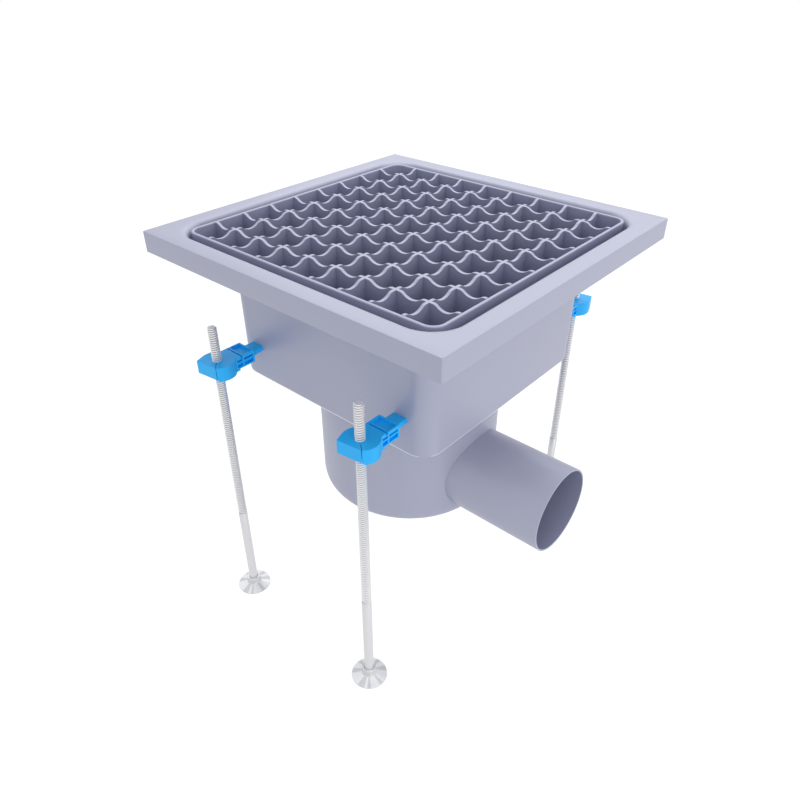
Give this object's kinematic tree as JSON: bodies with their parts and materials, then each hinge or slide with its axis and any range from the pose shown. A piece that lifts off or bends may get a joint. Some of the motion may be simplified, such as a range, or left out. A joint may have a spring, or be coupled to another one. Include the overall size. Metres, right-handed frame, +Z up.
{
  "type": "floor drain",
  "caption": "Square steel floor drain: wave-topped mesh grating, box with round sump, side outlet tube, lift-out water trap and levelling legs in plastic clips.",
  "frame": {"origin": "middle of the top plane, at the level of the finished floor", "axes": "+Z up out of the floor, +X out of the outlet tube, +Y to the back"},
  "size_m": [0.3169, 0.3256, 0.355],
  "materials": {
    "body_steel": "matt pickled sheet steel",
    "grate_steel": "matt pickled flat bar",
    "clip_plastic": "smooth moulded blue plastic",
    "leg_zinc": "bright zinc plating",
    "trap_steel": "matt sheet steel",
    "seal_rubber": "matt black rubber"
  },
  "bodies": {
    "drain": {"top_frame": "body_steel", "box_pan": "body_steel", "sump_cup": "body_steel", "outlet_spigot": "body_steel", "wall_lug_front_left": "body_steel", "wall_lug_front_right": "body_steel", "wall_lug_back_left": "body_steel", "wall_lug_back_right": "body_steel", "grate_band": "grate_steel", "grate_bar_x1": "grate_steel", "grate_bar_x2": "grate_steel", "grate_bar_x3": "grate_steel", "grate_bar_x4": "grate_steel", "grate_bar_x5": "grate_steel", "grate_bar_x6": "grate_steel", "grate_bar_x7": "grate_steel", "grate_bar_x8": "grate_steel", "grate_bar_y1": "grate_steel", "grate_bar_y2": "grate_steel", "grate_bar_y3": "grate_steel", "grate_bar_y4": "grate_steel", "grate_bar_y5": "grate_steel", "grate_bar_y6": "grate_steel", "grate_bar_y7": "grate_steel", "grate_bar_y8": "grate_steel", "leg_clip_front_left": "clip_plastic", "leg_clip_front_right": "clip_plastic", "leg_clip_back_left": "clip_plastic", "leg_clip_back_right": "clip_plastic", "trap_pot": "trap_steel", "trap_bell": "trap_steel", "bell_handle": "trap_steel", "sediment_basket": "trap_steel", "basket_bail": "trap_steel", "rim_seal": "seal_rubber"},
    "foot_front_left": {"leg_foot_front_left": "leg_zinc"},
    "rod_front_left": {"leg_rod_front_left": "leg_zinc"},
    "foot_front_right": {"leg_foot_front_right": "leg_zinc"},
    "rod_front_right": {"leg_rod_front_right": "leg_zinc"},
    "foot_back_left": {"leg_foot_back_left": "leg_zinc"},
    "rod_back_left": {"leg_rod_back_left": "leg_zinc"},
    "foot_back_right": {"leg_foot_back_right": "leg_zinc"},
    "rod_back_right": {"leg_rod_back_right": "leg_zinc"}
  },
  "joints": [
    {"name": "leg_height_front_left", "type": "slide", "parent": "drain", "child": "foot_front_left", "axis": [0, 0, 1], "range_m": [-0.028, 0.04]},
    {"name": "rod_turn_front_left", "type": "hinge", "parent": "foot_front_left", "child": "rod_front_left", "pos_m": [-0.08, -0.147, -0.2], "axis": [0, 0, 1], "range_deg": [-5040, 7200]},
    {"name": "leg_height_front_right", "type": "slide", "parent": "drain", "child": "foot_front_right", "axis": [0, 0, 1], "range_m": [-0.028, 0.04]},
    {"name": "rod_turn_front_right", "type": "hinge", "parent": "foot_front_right", "child": "rod_front_right", "pos_m": [0.08, -0.147, -0.2], "axis": [0, 0, 1], "range_deg": [-5040, 7200]},
    {"name": "leg_height_back_left", "type": "slide", "parent": "drain", "child": "foot_back_left", "axis": [0, 0, 1], "range_m": [-0.028, 0.04]},
    {"name": "rod_turn_back_left", "type": "hinge", "parent": "foot_back_left", "child": "rod_back_left", "pos_m": [-0.08, 0.147, -0.2], "axis": [0, 0, 1], "range_deg": [-5040, 7200]},
    {"name": "leg_height_back_right", "type": "slide", "parent": "drain", "child": "foot_back_right", "axis": [0, 0, 1], "range_m": [-0.028, 0.04]},
    {"name": "rod_turn_back_right", "type": "hinge", "parent": "foot_back_right", "child": "rod_back_right", "pos_m": [0.08, 0.147, -0.2], "axis": [0, 0, 1], "range_deg": [-5040, 7200]}
  ],
  "couplings": [
    {"joint": "rod_turn_front_left", "follows": "leg_height_front_left", "rad_per_m": 3141.6},
    {"joint": "rod_turn_front_right", "follows": "leg_height_front_right", "rad_per_m": 3141.6},
    {"joint": "rod_turn_back_left", "follows": "leg_height_back_left", "rad_per_m": 3141.6},
    {"joint": "rod_turn_back_right", "follows": "leg_height_back_right", "rad_per_m": 3141.6}
  ]
}
